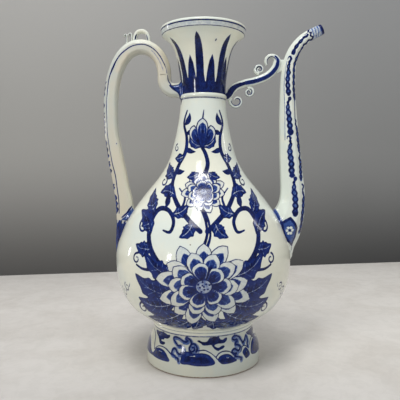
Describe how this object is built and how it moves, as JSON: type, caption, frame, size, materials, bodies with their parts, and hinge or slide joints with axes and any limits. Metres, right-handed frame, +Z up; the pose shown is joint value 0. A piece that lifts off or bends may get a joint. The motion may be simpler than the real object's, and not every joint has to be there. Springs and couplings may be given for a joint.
{
  "type": "ewer",
  "caption": "Pear-shaped porcelain ewer with spreading foot, trumpet mouth, strap handle, slender facetted spout and scrolled bridge; blue painted scrolls under clear glaze.",
  "frame": {"origin": "centre of the foot ring's resting face, on the body's axis", "axes": "+Z up along the body's axis, +X towards the spout, -X towards the handle"},
  "size_m": [0.2187, 0.1746, 0.3343],
  "materials": {
    "body_glaze": "gloss",
    "foot_glaze": "gloss",
    "mouth_glaze": "gloss",
    "spout_glaze": "gloss",
    "handle_glaze": "gloss",
    "bridge_glaze": "gloss",
    "cobalt_glaze": "gloss"
  },
  "bodies": {
    "root": {"foot_ring": "foot_glaze", "foot_collar": "foot_glaze", "lower_body": "body_glaze", "upper_body": "body_glaze", "neck": "body_glaze", "neck_ring": "body_glaze", "trumpet_mouth": "mouth_glaze", "spout_front": "spout_glaze", "spout_back": "spout_glaze", "handle_strap": "handle_glaze", "handle_stub": "cobalt_glaze", "handle_leaf": "cobalt_glaze", "handle_loop": "handle_glaze", "loop_curl_large": "handle_glaze", "loop_curl_small": "handle_glaze", "bridge_bar": "cobalt_glaze", "bridge_web": "bridge_glaze", "bridge_hook": "bridge_glaze", "bridge_curl_lower": "bridge_glaze", "bridge_curl_upper": "bridge_glaze"}
  },
  "joints": []
}
